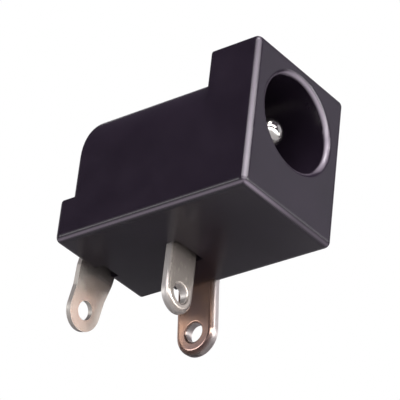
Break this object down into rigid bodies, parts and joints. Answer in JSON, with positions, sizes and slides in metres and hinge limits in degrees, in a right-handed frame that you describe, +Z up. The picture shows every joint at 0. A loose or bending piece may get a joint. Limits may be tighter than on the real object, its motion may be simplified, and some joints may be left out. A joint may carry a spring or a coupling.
{
  "type": "dc power socket",
  "caption": "Black moulded DC power socket: round plug bore with a centre pin in a square front, half-round barrel, low rear foot and flat solder tabs with eyelets.",
  "frame": {"origin": "on the underside, the face that meets the board, at the housing's mid width and mid length", "axes": "+Z up from the board, -Y out of the front face where the plug enters, +X towards the side tab"},
  "size_m": [0.0096, 0.0164, 0.0155],
  "materials": {
    "black_plastic": "moulded black plastic with a soft sheen",
    "nickel": "turned brass with a bright nickel plate",
    "tinned_brass": "stamped brass with a dull tin plate",
    "tinned_bronze": "stamped spring bronze with a tin plate",
    "copper_alloy": "stamped copper alloy, darkened"
  },
  "bodies": {
    "root": {"housing": "black_plastic", "centre_pin": "nickel", "centre_terminal": "tinned_brass", "sleeve_spring": "tinned_bronze", "switch_contact": "copper_alloy"}
  },
  "joints": []
}
